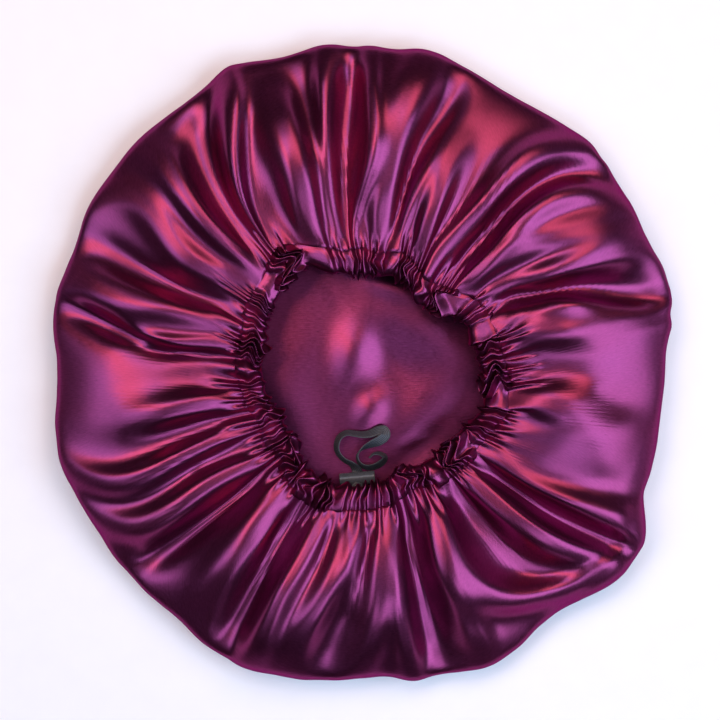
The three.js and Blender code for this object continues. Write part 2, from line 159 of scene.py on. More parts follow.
def braid_material():
    """Black yarn over ribs of rubber cord: a painted highlight, a paler line along the top of each rib
    broken up by noise, a fine chevron of stitches across it, and grey fluff."""
    material, shader, add, link = new_material("elastic_braid")
    place = add("ShaderNodeUVMap", {"uv_map": "cloth"}).outputs["UV"]
    rib_scale = 2 * np.pi * ELASTIC_RIBS / ELASTIC_WIDTH / WAVE_TURN
    ribs = add("ShaderNodeTexWave", {"bands_direction": "Y"},
               {"Scale": rib_scale, "Phase Offset": np.pi / 2, "Distortion": 0.3}, {"Vector": place})
    stitches = add("ShaderNodeTexWave", {"bands_direction": "DIAGONAL"},
                   {"Scale": 420.0, "Distortion": 0.6, "Detail": 1.0}, {"Vector": place})
    fluff = add("ShaderNodeTexNoise", None, {"Scale": 1500.0, "Detail": 3.0}, {"Vector": place})
    # Painted highlight: the rib tops, broken up by the fluff noise, are mixed towards a paler colour.
    rib_highlight = add("ShaderNodeMath", {"operation": "MULTIPLY"}, None,
               {0: ribs.outputs["Fac"], 1: fluff.outputs["Fac"]})
    tone = add("ShaderNodeMix", {"data_type": "RGBA"}, {"A": YARN_BLACK, "B": YARN_RIB_HIGHLIGHT},
               {"Factor": rib_highlight.outputs["Value"]})
    bump = add("ShaderNodeBump", None, {"Strength": 0.4, "Distance": 0.00015},
               {"Height": stitches.outputs["Fac"]})
    link(tone.outputs["Result"], shader.inputs["Base Color"])
    link(bump.outputs["Normal"], shader.inputs["Normal"])
    shader.inputs["Roughness"].default_value = 0.45
    shader.inputs["Sheen Weight"].default_value = 0.2
    shader.inputs["Sheen Roughness"].default_value = 0.4
    shader.inputs["Sheen Tint"].default_value = YARN_FLUFF
    return material


def ribbon(route, lean, width, thick, ribs, across_points=37):
    """A flat band along a route. Its section is a flat oval whose two broad faces are ribbed: half
    its thickness is a round-cornered curve of the place across, less where two ribs meet. Across
    points up, turned by the lean about the route towards its right."""
    tangent = unit(np.gradient(route, axis=0))
    side = unit(np.cross(tangent, (0, 0, 1)))
    up = np.cross(side, tangent)
    across = up * np.cos(lean)[:, None] + side * np.sin(lean)[:, None]
    through = np.cross(across, tangent)
    place = np.sin(np.linspace(-np.pi / 2, np.pi / 2, across_points) * 0.94)
    place = place / place[-1]
    groove = np.abs(np.cos(0.5 * np.pi * ribs * (place + 1))) ** 0.6
    half = np.sqrt(1.02 - place**8) * (1 - RIB_DEPTH * groove * (1 - place**16))
    a = np.concatenate([place, place[::-1]])
    b = np.concatenate([half, -half[::-1]])
    points = (route[:, None] + across[:, None] * (a * width / 2)[:, None]
              + through[:, None] * (b * thick / 2)[:, None])
    length = np.concatenate([[0], np.cumsum(np.linalg.norm(np.diff(route, axis=0), axis=1))])
    flat = np.stack(np.broadcast_arrays(length[:, None], (a * width / 2)[None]), axis=-1)
    return points, flat, length[-1]


tail_rows = smooth_route(np.stack([TAIL[name] for name in TAIL.dtype.names], axis=1), TAIL_STEPS_EACH)
tail_route = tail_rows[:, :3] * MM
tail_points, tail_flat, tail_length = ribbon(
    tail_route, np.radians(tail_rows[:, 3]), ELASTIC_WIDTH, ELASTIC_THICK, ELASTIC_RIBS)
rows, columns = tail_points.shape[:2]
tail_all = np.concatenate([tail_points.reshape(-1, 3), tail_route[[0, -1]]])
tail_cloth = np.concatenate([tail_flat.reshape(-1, 2), tail_flat[[0, -1], 0]])
ring = np.arange(columns)
ahead = np.roll(ring, -1)
last_row = (rows - 1) * columns
tail_caps = [np.stack([np.full(columns, rows * columns), ring, ahead], axis=1),
             np.stack([np.full(columns, rows * columns + 1), ahead + last_row, ring + last_row], axis=1)]
elastic_tail = mesh_object("braided_elastic_tail", tail_all,
                           [grid_faces(rows, columns, round_columns=True), *tail_caps], tail_cloth)
elastic_tail.data.materials.append(braid_material())
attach(elastic_tail, "root")
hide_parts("elastic_tail")

# ---- Stopper ----------------------------------------------------------------------------------
# A plain barrel of black plastic, 8 mm across and 21 mm long, moulded in one piece, with a slot
# through its middle that grips the elastic. Its ends are cut flat with a small round to the edge.
stopper_low, stopper_high = (np.array(corner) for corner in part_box("stopper"))
STOPPER_RADIUS = 3.85 * MM
STOPPER_LENGTH = 20.7 * MM
STOPPER_ROUND = 0.45 * MM
STOPPER_TURN = np.radians(5)
STOPPER_DISH = 0.25 * MM
PLASTIC_DARK = (0.050, 0.060, 0.073, 1)
PLASTIC_LIGHT = (0.085, 0.100, 0.120, 1)


def barrel(radius, length, edge, around=64):
    """A profile turned about X: flat ends dished a little, quarter rounds to the wall, and a wall
    that swells very slightly to the middle."""
    quarter = np.linspace(0, np.pi / 2, 7)
    end_r = np.concatenate([np.linspace(0.0, radius * 0.62, 5)[1:], [radius * 0.7],
                            radius - edge + edge * np.sin(quarter)])
    end_x = np.concatenate([np.full(4, STOPPER_DISH), [0.02 * MM], edge - edge * np.cos(quarter)])
    wall = np.linspace(-1, 1, 17)[1:-1]
    half = length / 2
    x = np.concatenate([-half + end_x, wall * (half - edge), half - end_x[::-1]])
    r = np.concatenate([end_r, radius + 0.04 * MM * (1 - wall**2), end_r[::-1]])
    turn = np.linspace(0, 2 * np.pi, around, endpoint=False)
    return np.stack(np.broadcast_arrays(
        x[:, None], r[:, None] * np.cos(turn), r[:, None] * np.sin(turn)), axis=-1)


def plastic_material():
    """Black moulded plastic: very fine grain, and faint dull patches from handling."""
    material, shader, add, link = new_material("stopper_plastic")
    place = add("ShaderNodeTexCoord").outputs["Object"]
    patches = add("ShaderNodeTexNoise", None, {"Scale": 260.0, "Detail": 4.0}, {"Vector": place})
    gloss = add("ShaderNodeMapRange", None, {"To Min": 0.20, "To Max": 0.34},
                {"Value": patches.outputs["Fac"]})
    grain = add("ShaderNodeTexNoise", None, {"Scale": 3500.0, "Detail": 1.0}, {"Vector": place})
    bump = add("ShaderNodeBump", None, {"Strength": 0.12, "Distance": 0.0001},
               {"Height": grain.outputs["Fac"]})
    tone = add("ShaderNodeMix", {"data_type": "RGBA"}, {"A": PLASTIC_DARK, "B": PLASTIC_LIGHT},
               {"Factor": patches.outputs["Fac"]})
    link(tone.outputs["Result"], shader.inputs["Base Color"])
    link(gloss.outputs["Result"], shader.inputs["Roughness"])
    link(bump.outputs["Normal"], shader.inputs["Normal"])
    return material


barrel_points = barrel(STOPPER_RADIUS, STOPPER_LENGTH, STOPPER_ROUND)
rows, columns = barrel_points.shape[:2]
spin = np.array([[np.cos(STOPPER_TURN), -np.sin(STOPPER_TURN), 0],
                 [np.sin(STOPPER_TURN), np.cos(STOPPER_TURN), 0], [0, 0, 1]])
barrel_points = barrel_points.reshape(-1, 3) @ spin.T + (stopper_low + stopper_high) / 2
ring = np.arange(columns)
ahead = np.roll(ring, -1)
last_row = (rows - 1) * columns
poles = np.stack([barrel_points[:columns].mean(axis=0), barrel_points[last_row:].mean(axis=0)])
barrel_caps = [np.stack([np.full(columns, rows * columns), ahead, ring], axis=1),
               np.stack([np.full(columns, rows * columns + 1), ring + last_row, ahead + last_row], axis=1)]
stopper = mesh_object("stopper_barrel", np.concatenate([barrel_points, poles]),
                      [grid_faces(rows, columns, round_columns=True)[:, ::-1], *barrel_caps])
stopper.data.materials.append(plastic_material())
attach(stopper, "root")
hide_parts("stopper")

# ---- Outer layer of satin ---------------------------------------------------------------------
# A round of plum polyester satin, gathered round its edge onto the casing. It lies flat under the
# crown, curls up at the rim, and comes back over the top in deep folds that fan out from the
# gathers and run out towards the rim.
CLOTH_CUT = 0.60
CLOTH_THICK = 0.35 * MM
LYING_EDGE = 24 * MM
ROLL_RIM = 17 * MM
CREST_HEIGHT = 37 * MM
CREST_SHARE = 0.55
ROLL_POWER = 1.25
RIM_TURN_ROWS = 8
SCALLOP = 0.12
CASING_BAND = 17 * MM
SEAM_INSET = 5 * MM
SEAM_HEIGHT = 31.0 * MM
SEAM_WANDER = 1.3 * MM
COLUMNS = 900
TOP_ROWS = 40
CROWN_ROWS = 5

# The casing's inner edge seen from above: direction in degrees, anticlockwise from +X, and distance
# from the frame's origin in millimetres.
MOUTH_EDGE = np.array([
    (0, 66), (20, 63), (30, 57), (40, 49), (50, 45), (60, 51), (70, 53), (80, 49), (90, 51), (100, 50),
    (110, 56), (120, 64), (130, 66), (140, 61), (150, 61), (160, 59), (170, 57), (180, 58), (200, 58),
    (212, 55), (222, 59), (231, 57), (240, 68), (250, 71), (258, 73), (265, 71.0), (272, 70.4),
    (280, 69), (290, 63), (300, 67), (320, 68), (330, 69), (340, 74), (350, 71),
], dtype=[("at", float), ("out", float)])

# The folds, one row each: the direction of the crest at 174, 145, 116 and 87 mm from the middle, its
# height there in millimetres (below zero for a crease), and its half width on either side.
FOLDS = np.array([
    (4, 4, 2, 0, 3, 5, 3, 2, 18, 16),
    (12, 11, 11, 11, 0, 1, 8, 6, 9, 8),
    (16, 16, 16.2, 18.4, 0, 0, 5, 5, 4, 4),
    (13.2, 15.7, 20.5, 25, -6, -8, -7, -4, 3, 5),
    (22, 24.4, 25.9, 28.7, 5, 8, 8, 5, 5, 6),
    (28.2, 31.5, 35, 38, 5, 7, 6, 4, 6, 6),
    (33, 40.8, 41.3, 39, 4, 9, 8, 5, 6, 4),
    (40, 45, 47, 46, -2, -6, -6, -3, 4, 4),
    (46, 51.5, 53, 54.5, 7, 10, 9, 5, 7, 5),
    (62, 63, 66, 66, 3, 4, 3, 2, 17, 15),
    (72, 73, 76, 77, -3, -6, -6, -3, 4, 4),
    (66, 66, 66.5, 65, 0, 0, 5, 7, 6, 6),
    (72, 72, 72, 73.5, 0, 0, 3, 5, 4, 4),
    (79.5, 81.5, 82.7, 83, 8, 10, 8, 5, 9, 7),
    (88.8, 87.8, 87.5, 92, 7, 8, 7, 5, 3.5, 3.5),
    (92, 93.5, 95.5, 97, -6, -10, -9, -5, 3.5, 4),
    (97, 99, 100.5, 101, 6, 6, 4, 3, 6, 4),
    (102.5, 102.5, 103, 104, -3, -6, -4, -1, 4, 4),
    (109, 108.5, 108.3, 112, 1, 10, 12, 7, 9, 9),
    (115.5, 120, 126.2, 129, 8, 8, 7, 5, 3, 7),
    (122, 128, 131.5, 133, -4, -7, -7, -4, 5, 6),
    (135, 136, 138.3, 137.5, 5, 9, 8, 6, 6, 6),
    (146, 144.5, 149, 145, 3, 5, 5, 4, 6, 7),
    (157, 157.5, 159, 158, -5, -6, -6, -3, 5, 5),
    (164, 164, 163.5, 162, 4, 6, 7, 5, 9, 8),
    (169.5, 172, 176, 177, -5, -6, -4, -3, 3, 4),
    (186, 186, 184, 181, 5, 7, 4, 2, 24, 22),
    (174, 174, 174, 172, 0, 0, 4, 5, 4, 4),
    (194, 194, 194, 195, 0, 0, 6, 7, 7, 6),
    (202, 207, 207.5, 208, 6, 7, 6, 4, 5, 5),
    (212, 217.5, 218, 222, 6, 8, 8, 5, 6, 6),
    (222.5, 224, 226, 228, -5, -8, -6, -3, 3, 4),
    (238, 237, 238, 236, 2, 7, 9, 7, 9, 8),
    (244, 244, 244, 246, -6, -9, -8, -5, 4, 4),
    (249.5, 250.5, 253, 256, 8, 9, 8, 5, 5, 5),
    (257.2, 259, 263, 264, 6, 9, 7, 5, 6, 5),
    (266, 266, 267, 271, 0, 0, 5, 5, 4, 4),
    (270, 273, 275, 278, 5, 8, 7, 5, 6, 6),
    (279, 279, 280, 283, 5, 6, 4, 2, 4, 4),
    (284, 284, 284, 286, -6, -8, -6, -3, 4, 4),
    (292.5, 292, 292.5, 297.5, 5, 7, 8, 5, 5, 5),
    (312.5, 297.5, 295, 297, 9, 10, 8, 5, 8, 6),
    (317, 308, 306, 306, -2, -6, -7, -4, 6, 5),
    (320.5, 316.4, 313.8, 314, 5, 8, 7, 5, 7, 5),
    (324, 322.2, 320.7, 320, -6, -9, -8, -5, 3.5, 3.5),
    (328, 325.5, 323.2, 323, 8, 8, 6, 5, 4, 6),
    (341, 341, 337, 333, 5, 7, 5, 3, 14, 12),
    (348, 348, 348, 345, 0, 0, 7, 7, 9, 9),
], dtype=[(name, float) for name in (
    "at174", "at145", "at116", "at87", "up174", "up145", "up116", "up87", "clockwise", "anticlockwise")])

# A fold's half width at the station is its table value times FOLD_WIDEN, and elsewhere it grows with
# the distance to the power FOLD_SPREAD. Its height is raised by the gain and levels off at the limit.
FOLD_WIDEN = 1.8
FOLD_STATION = 0.145
FOLD_SPREAD = 1.2
FOLD_SIDES = 3
FOLD_GAIN = 1.65
FOLD_LIMIT = 15 * MM

# The share of a fold's height that is left at the rim, and the share of the way in from the rim by
# which the whole height is there.
FOLD_AT_RIM = 0.35
FOLD_FULL_BY = 0.22


def smooth_round(table, directions, soften=3.0):
    """The table's second column at each direction, straight from row to row and then evened out by a
    bell-shaped average that is `soften` degrees wide."""
    fine = np.arange(0, 360, 0.5)
    values = np.interp(fine, table[:, 0], table[:, 1], period=360)
    bell = np.exp(-0.5 * (np.minimum(fine, 360 - fine) / soften) ** 2)
    values = np.fft.irfft(np.fft.rfft(values) * np.fft.rfft(bell / bell.sum()), len(fine))
    return np.interp(directions, fine, values, period=360)


def ease(x):
    """0 below 0, 1 above 1, and a smooth S between."""
    x = np.clip(x, 0, 1)
    return x * x * (3 - 2 * x)


def wobble(directions, waves, seed):
    """A smooth random curve round the circle, about 1 high: a sum of the given whole-number waves."""
    random = np.random.default_rng(seed)
    strength = random.normal(size=len(waves))
    start = random.uniform(0, 2 * np.pi, len(waves))
    angle = np.radians(directions)[..., None] * waves + start
    return (np.sin(angle) * strength).sum(axis=-1) / np.sqrt(len(waves))


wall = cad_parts["outer_satin"].data
corners = np.empty(len(wall.vertices) * 3)
wall.vertices.foreach_get("co", corners)
corners = corners.reshape(-1, 3)
at_rim = corners[np.abs(corners[:, 2] - RIM_HEIGHT) < 0.4 * MM]
# The rim's outline is the outermost point in each small bin of directions, at the bin's middle.
RIM_BIN = 2
rim_at = np.degrees(np.arctan2(at_rim[:, 1], at_rim[:, 0])) % 360
rim_out = np.hypot(at_rim[:, 0], at_rim[:, 1])
bins = (rim_at / RIM_BIN).astype(int)
rim_table = np.array([(RIM_BIN * (b + 0.5), rim_out[bins == b].max()) for b in np.unique(bins)])


def fold_field(directions, distance):
    """Height in metres of all charted folds at directions (degrees) and distances (metres) from the
    middle: each row is a rounded ridge along its own crest line, a cubic through its four places,
    and as high as its crest over (1 + (the offset over the half width) to the power FOLD_SIDES)."""
    stations = np.array([87, 116, 145, 174]) * MM
    height = np.zeros_like(distance)
    within = np.clip(distance, 0.080, 0.182)
    for fold in FOLDS:
        places = [fold["at87"], fold["at116"], fold["at145"], fold["at174"]]
        heights = [fold["up87"], fold["up116"], fold["up145"], fold["up174"]]
        crest = np.polyval(np.polyfit(stations, places, 3), within)
        up = np.interp(distance, stations, heights)
        away = (directions - crest + 180) % 360 - 180
        half = np.where(away < 0, fold["clockwise"], fold["anticlockwise"]) * MM
        half = FOLD_WIDEN * half * (distance / FOLD_STATION) ** FOLD_SPREAD
        height += up * MM / (1 + np.abs(np.radians(away) * distance / half) ** FOLD_SIDES)
    return height


MOUTH_CENTRE = np.array([4.4, -11.2]) * MM
PLEATS = 84
pleat_random = np.random.default_rng(8)
PLEAT_TALL = (1.6 + 5.6 * pleat_random.uniform(0, 1, PLEATS) ** 1.3) * MM
PLEAT_TONGUE = pleat_random.uniform(-0.5, 4.2, PLEATS) * MM
PLEAT_REACH = 0.70 + 0.25 * np.sqrt(pleat_random.uniform(0, 1, PLEATS))


def mouth_radius(directions, soften):
    """Distance from the mouth's centre to the casing's inner edge, at directions about that centre."""
    turn = np.radians(MOUTH_EDGE["at"])
    edge = np.stack([np.cos(turn), np.sin(turn)], axis=1) * MOUTH_EDGE["out"][:, None] * MM
    away = edge - MOUTH_CENTRE
    table = np.stack([np.degrees(np.arctan2(away[:, 1], away[:, 0])) % 360, np.hypot(*away.T)], axis=1)
    return smooth_round(table[np.argsort(table[:, 0])], directions, soften)


def pleat_lean(directions):
    """How far the pleats' edges lean round the mouth, in degrees."""
    return 1.3 * wobble(directions, np.arange(6, 40), 25)


def pleat_at(directions):
    """Which pleat each direction about the mouth is on, and how much of it stands there: 1 on the
    pleat's edge, 0 in the gap to the next, as a cosine to the power 2.5."""
    phase = directions / 360 * PLEATS + 0.60 * wobble(directions, np.arange(3, 26), 21)
    return np.round(phase).astype(int) % PLEATS, np.abs(np.cos(np.pi * (phase - np.round(phase)))) ** 2.5


def cup_rows(inset=0.0, drop=0.0, folds=1.0, gathers=1.0, columns=COLUMNS, top_rows=TOP_ROWS):
    """Rings of points from the lying edge of the crown round the rim, over the roll and in to the
    gathers. Under the rim the roll is a quarter ellipse. Over it the height rises to the crest as
    (1 - (the share left to the crest) to the power ROLL_POWER) to the power 1 / ROLL_POWER, and
    then falls in an S to the casing. Folds and gathers stand on that, and the rim's height follows
    the folds. The lining has the same form, `inset` and `drop` metres inside."""
    direction = np.arange(columns) * 360 / columns
    outward = np.stack([np.cos(np.radians(direction)), np.sin(np.radians(direction))], axis=-1)
    rim = smooth_round(rim_table, direction, 0.8) - inset
    rim = (rim + SCALLOP * folds * fold_field(direction, rim))[:, None]
    curl = np.linspace(0, np.pi / 2, RIM_TURN_ROWS + 1)[:-1, None, None]
    under = (rim - LYING_EDGE * (1 - np.sin(curl))) * outward
    share = (np.linspace(0, 1, top_rows) ** 1.1)[:, None] * np.ones(columns)
    seam_out = mouth_radius(direction, 1.5) + CASING_BAND - SEAM_INSET
    seam_out = seam_out + SEAM_WANDER * wobble(direction, np.arange(4, 40), 31)
    seam = seam_out[:, None] * outward + MOUTH_CENTRE
    plan = rim * outward + (seam - rim * outward) * share[..., None]
    out = 1 - np.minimum(share / CREST_SHARE, 1)
    roll = ROLL_RIM - 1.5 * drop
    rise = roll + (CREST_HEIGHT - roll) * (1 - out**ROLL_POWER) ** (1 / ROLL_POWER)
    fall = (CREST_HEIGHT - SEAM_HEIGHT) * ease((share - CREST_SHARE) / (1 - CREST_SHARE))
    around = np.degrees(np.arctan2(plan[..., 1], plan[..., 0]))
    lift = fold_field(around, np.linalg.norm(plan, axis=-1))
    lift = lift - lift.mean(axis=1, keepdims=True)
    lift = FOLD_LIMIT * np.tanh(FOLD_GAIN * lift / FOLD_LIMIT) * folds
    lift = lift * (FOLD_AT_RIM + (1 - FOLD_AT_RIM) * ease(share / FOLD_FULL_BY))
    lift = lift * (1 - 0.5 * ease((share - 0.8) / 0.2))
    under_z = drop + (roll + lift[0] - drop) * (1 - np.cos(curl[..., 0]))
    pleat, edge = pleat_at(direction)
    reach = PLEAT_REACH[pleat]
    grown = gathers * edge * ease((share - reach) / (1 - reach))
    lift = lift * (1 - ease((share - 0.85) / 0.15)) + PLEAT_TALL[pleat] * grown
    aside = np.radians(pleat_lean(direction) * grown) * np.linalg.norm(plan, axis=-1)
    plan = plan + aside[..., None] * np.stack([-outward[:, 1], outward[:, 0]], axis=-1)
    height = rise - fall - drop * ease(share / 0.2) + lift
    return np.concatenate([np.dstack([under, under_z]), np.dstack([plan, height])])


def settle(rings, hoop, mobility, finest, passes, pressure, lowest):
    """Lets the cloth find its own folds. Each pass pushes every point out along its normal, evens
    its bends, and then moves neighbours along the line between them until they are as far apart
    as in the flat cut: `hoop` holds that distance for each ring, and the distance up the cloth
    stays as it was at the start. `mobility` is 0 for a held point and 1 for a free one, and
    `finest` is, for each ring, how many waves round it a movement may have before it fades."""
    points = rings.copy()
    rise = np.linalg.norm(np.diff(points, axis=0), axis=-1)[..., None]
    hoop = hoop[:, None, None]

    def pull(a, b, rest):
        line = b - a
        return 0.5 * (1 - rest / np.maximum(np.linalg.norm(line, axis=-1, keepdims=True), 1e-9)) * line

    waves = np.arange(points.shape[1] // 2 + 1)[None, :, None]
    keep = 1 - 0.5 * (1 - 1 / (1 + (waves / finest[:, None, None]) ** 6))

    for _ in range(passes):
        around = np.roll(points, -1, axis=1) - np.roll(points, 1, axis=1)
        along = np.gradient(points, axis=0)
        normal = unit(np.cross(around, along))
        points += pressure * mobility * normal
        moved = points - rings
        points = rings + np.fft.irfft(np.fft.rfft(moved, axis=1) * keep, points.shape[1], axis=1)
        upward = points[2:] + points[:-2] - 2 * points[1:-1]
        points[1:-1] += 0.1 * mobility[1:-1] * upward
        even, odd = points[:, 0::2], points[:, 1::2]
        move = pull(even, odd, hoop)
        even += move * mobility[:, 0::2]
        odd -= move * mobility[:, 1::2]
        move = pull(odd, np.roll(even, -1, axis=1), hoop)
        odd += move * mobility[:, 1::2]
        even -= np.roll(move, 1, axis=1) * mobility[:, 0::2]
        for start in (0, 1):
            low, high = points[start:-1:2], points[start + 1::2]
            move = pull(low, high, rise[start::2])
            low += move * mobility[start:-1:2]
            high -= move * mobility[start + 1::2]
        points[..., 2] = np.maximum(points[..., 2], lowest)
    return points


def flat_cut(rings, radius):
    """Where each ring lay in the flat round of cloth: its distance along the cloth from the middle,
    scaled so that the last ring is the cut edge."""
    step = np.linalg.norm(np.diff(rings, axis=0), axis=-1).mean(axis=1)
    start = np.linalg.norm(rings[0, :, :2], axis=-1).mean()
    along = start + np.concatenate([[0], np.cumsum(step)])
    along = along / along[-1] * radius
    angle = 2 * np.pi * np.arange(rings.shape[1]) / rings.shape[1]
    return along[:, None, None] * np.stack([np.cos(angle), np.sin(angle)], axis=-1)


def cup_object(name, rings, crown_rows, swells=None):
    """A cup of cloth from its rings, closed under the crown by smaller rings and a middle point,
    with its faces towards the outside."""
    shares = np.linspace(0, 1, crown_rows + 2)[1:-1, None, None]
    crown = rings[0] * shares
    crown[..., 2] = rings[0, :, 2].mean()
    if swells is not None:
        crown[..., 2] += swells(crown[..., 0], crown[..., 1])
    rings = np.concatenate([crown, rings])
    flat = flat_cut(rings, CLOTH_CUT / 2)
    count = rings.shape[1]
    points = np.concatenate([rings.reshape(-1, 3), rings[0].mean(axis=0)[None]])
    uv = np.concatenate([flat.reshape(-1, 2), [[0, 0]]])
    ring = np.arange(count)
    fan = np.stack([np.full(count, len(points) - 1), np.roll(ring, -1), ring], axis=1)
    return mesh_object(name, points, [grid_faces(len(rings), count, round_columns=True)[:, ::-1], fan], uv)


# The satin is one plum all over. The drift between these two colours is painted light: the violet cast of
# cool light and the wine cast of warm light on its gloss.
PLUM_WITH_PAINTED_COOL_LIGHT = (0.285, 0.050, 0.17, 1)
PLUM_WITH_PAINTED_WARM_LIGHT = (0.31, 0.044, 0.13, 1)
EDGE_TINT = (0.55, 0.25, 0.45, 1)


def satin_material(name):
    """Plum satin: long floats give a bright tinted gloss stretched across the weft, with streaks of
    slub along it, a fine weave in the bump, and painted light: slow drifts of the plum between a
    violet cast, as of cool light, and a wine cast, as of warm light."""
    material, shader, add, link = new_material(name)
    place = add("ShaderNodeUVMap", {"uv_map": "cloth"}).outputs["UV"]
    stretched = add("ShaderNodeMapping", None, {"Scale": (0.30, 1.0, 1.0)}, {"Vector": place})
    streaks = add("ShaderNodeTexNoise", None, {"Scale": 950.0, "Detail": 3.0, "Roughness": 0.65},
                  {"Vector": stretched.outputs["Vector"]})
    # Painted light: slow noise shifts the plum between the violet cast of cool light and the wine cast of
    # warm light.
    painted_light_drift = add("ShaderNodeTexNoise", None, {"Scale": 14.0, "Detail": 2.0}, {"Vector": place})
    plum_with_painted_light = add("ShaderNodeMix", {"data_type": "RGBA"}, {"A": PLUM_WITH_PAINTED_COOL_LIGHT, "B": PLUM_WITH_PAINTED_WARM_LIGHT},
              {"Factor": painted_light_drift.outputs["Fac"]})
    thread = add("ShaderNodeMix", {"data_type": "RGBA", "blend_type": "MULTIPLY"},
                 {"Factor": 0.55}, {"A": plum_with_painted_light.outputs["Result"], "B": streaks.outputs["Fac"]})
    weft = add("ShaderNodeTexWave", {"bands_direction": "Y"},
               {"Scale": 260.0, "Distortion": 0.6, "Detail": 1.0}, {"Vector": place})
    weave = add("ShaderNodeMath", {"operation": "MULTIPLY_ADD"}, {1: 0.25},
                {0: weft.outputs["Fac"], 2: streaks.outputs["Fac"]})
    bump = add("ShaderNodeBump", None, {"Strength": 0.28, "Distance": 0.00016},
               {"Height": weave.outputs["Value"]})
    gloss = add("ShaderNodeMapRange", None, {"To Min": 0.24, "To Max": 0.36},
                {"Value": streaks.outputs["Fac"]})
    tangent = add("ShaderNodeTangent", {"direction_type": "UV_MAP", "uv_map": "cloth"})
    link(thread.outputs["Result"], shader.inputs["Base Color"])
    link(gloss.outputs["Result"], shader.inputs["Roughness"])
    link(bump.outputs["Normal"], shader.inputs["Normal"])
    link(tangent.outputs["Tangent"], shader.inputs["Tangent"])
    shader.inputs["Metallic"].default_value = 0.96
    shader.inputs["Specular Tint"].default_value = EDGE_TINT
    shader.inputs["Anisotropic"].default_value = 0.5
    return material


def thicken(piece, thick):
    """Gives the cloth its thickness inwards from the face that shows."""
    solid = piece.modifiers.new("thickness", "SOLIDIFY")
    solid.thickness = thick
    solid.offset = -1
    solid.use_even_offset = False


SETTLE_PASSES = 80
SETTLE_PRESSURE = 0.015 * MM
SETTLE_FLOOR = 0.5 * MM
HOOP_SLACK = 1.005

satin = satin_material("plum_satin")
outer_rings = cup_rows()
spacing = np.linalg.norm(np.roll(outer_rings, -1, axis=1) - outer_rings, axis=-1).mean(axis=1)
row_share = np.arange(len(outer_rings)) / (len(outer_rings) - 1)
mobility = (ease((row_share - 0.1) / 0.3) * (1 - ease((row_share - 0.9) / 0.1)))[:, None, None]
mobility = mobility * np.ones((1, COLUMNS, 1))
finest = 20 + 150 * row_share**5
outer_rings = settle(outer_rings, spacing * HOOP_SLACK, mobility, finest, SETTLE_PASSES,
                     SETTLE_PRESSURE, SETTLE_FLOOR)
outer = cup_object("outer_satin_cloth", outer_rings, CROWN_ROWS)
thicken(outer, CLOTH_THICK)
outer.data.materials.append(satin)
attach(outer, "root")
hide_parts("outer_satin")

# ---- Inner layer of satin ---------------------------------------------------------------------
# A second round of the same satin, shiny side in, cut a little smaller and sewn to the outer one at
# the casing. Only its crown shows, through the mouth, lying in slow swells over the layer below.
LINING_INSET = 5.0 * MM
LINING_DROP = 2.6 * MM
LINING_FOLDS = 0.85
LINING_GATHERS = 0.3
LINING_COLUMNS = 360
LINING_TOP_ROWS = 24
LINING_CROWN_ROWS = 60

# Swells of the crown inside the mouth, in millimetres: middle, half length, half width, turn of the
# long way in degrees, and height.
SWELLS = np.array([
    (34, 22, 34, 15, -38, 3.2),
    (38, -24, 26, 12, 50, 1.4),
    (-5, 6, 20, 12, 84, 4.0),
    (-36, 6, 26, 14, 70, 0.8),
    (5, -27, 11, 9, 74, 3.1),
    (14, 2, 18, 10, -60, -1.6),
    (-40, -30, 30, 12, 120, 2.0),
    (20, 44, 20, 7, -20, 2.2),
    (-34, -40, 30, 16, 150, -1.5),
    (30, -52, 18, 8, 40, -1.5),
], dtype=[(name, float) for name in ("x", "y", "long", "wide", "turn", "up")])


def swell_field(x, y):
    """Height of the crown's swells: each is a bell, long one way and narrow across it."""
    height = np.zeros_like(x)
    for swell in SWELLS:
        turn = np.radians(swell["turn"])
        east, north = x / MM - swell["x"], y / MM - swell["y"]
        along = (east * np.cos(turn) + north * np.sin(turn)) / swell["long"]
        across = (north * np.cos(turn) - east * np.sin(turn)) / swell["wide"]
        height += swell["up"] * MM * np.exp(-along**2 - across**2)
    return height


lining_rings = cup_rows(LINING_INSET, LINING_DROP, LINING_FOLDS, LINING_GATHERS,
                        LINING_COLUMNS, LINING_TOP_ROWS)
lining = cup_object("lining_satin_cloth", lining_rings, LINING_CROWN_ROWS, swell_field)
thicken(lining, CLOTH_THICK)
lining.data.materials.append(satin)
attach(lining, "root")
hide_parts("lining_satin")

# ---- Gathered casing --------------------------------------------------------------------------
# The edge of the cloth, turned over and stitched into a channel 17 mm wide for the elastic. Pulled
# up on the elastic it ruffles into tight pleats across the band, some of them rolled over.
CASING_HEIGHT = 28 * MM
CASING_THICK = 8 * MM

# Places where the pleats have rolled over or puffed up: direction about the mouth's centre and half
# width in degrees, added height and reach into the mouth in millimetres, and sideways bend in degrees.
ROLLS = np.array([
    (44, 6, 3.0, 2.0, 7.0),
    (125, 7, 3.0, 2.0, -6.0),
    (222, 6, 4.0, 3.5, 7.0),
    (244, 8, 3.5, 1.5, -2.0),
    (286, 8, 1.5, -1.0, 3.0),
    (320, 8, 3.0, 2.0, -5.0),
    (0, 9, 1.5, 1.0, 4.0),
    (165, 10, 1.0, 1.5, -4.0),
], dtype=[(name, float) for name in ("at", "half", "up", "in", "bend")])
CASING_COLUMNS = 1840

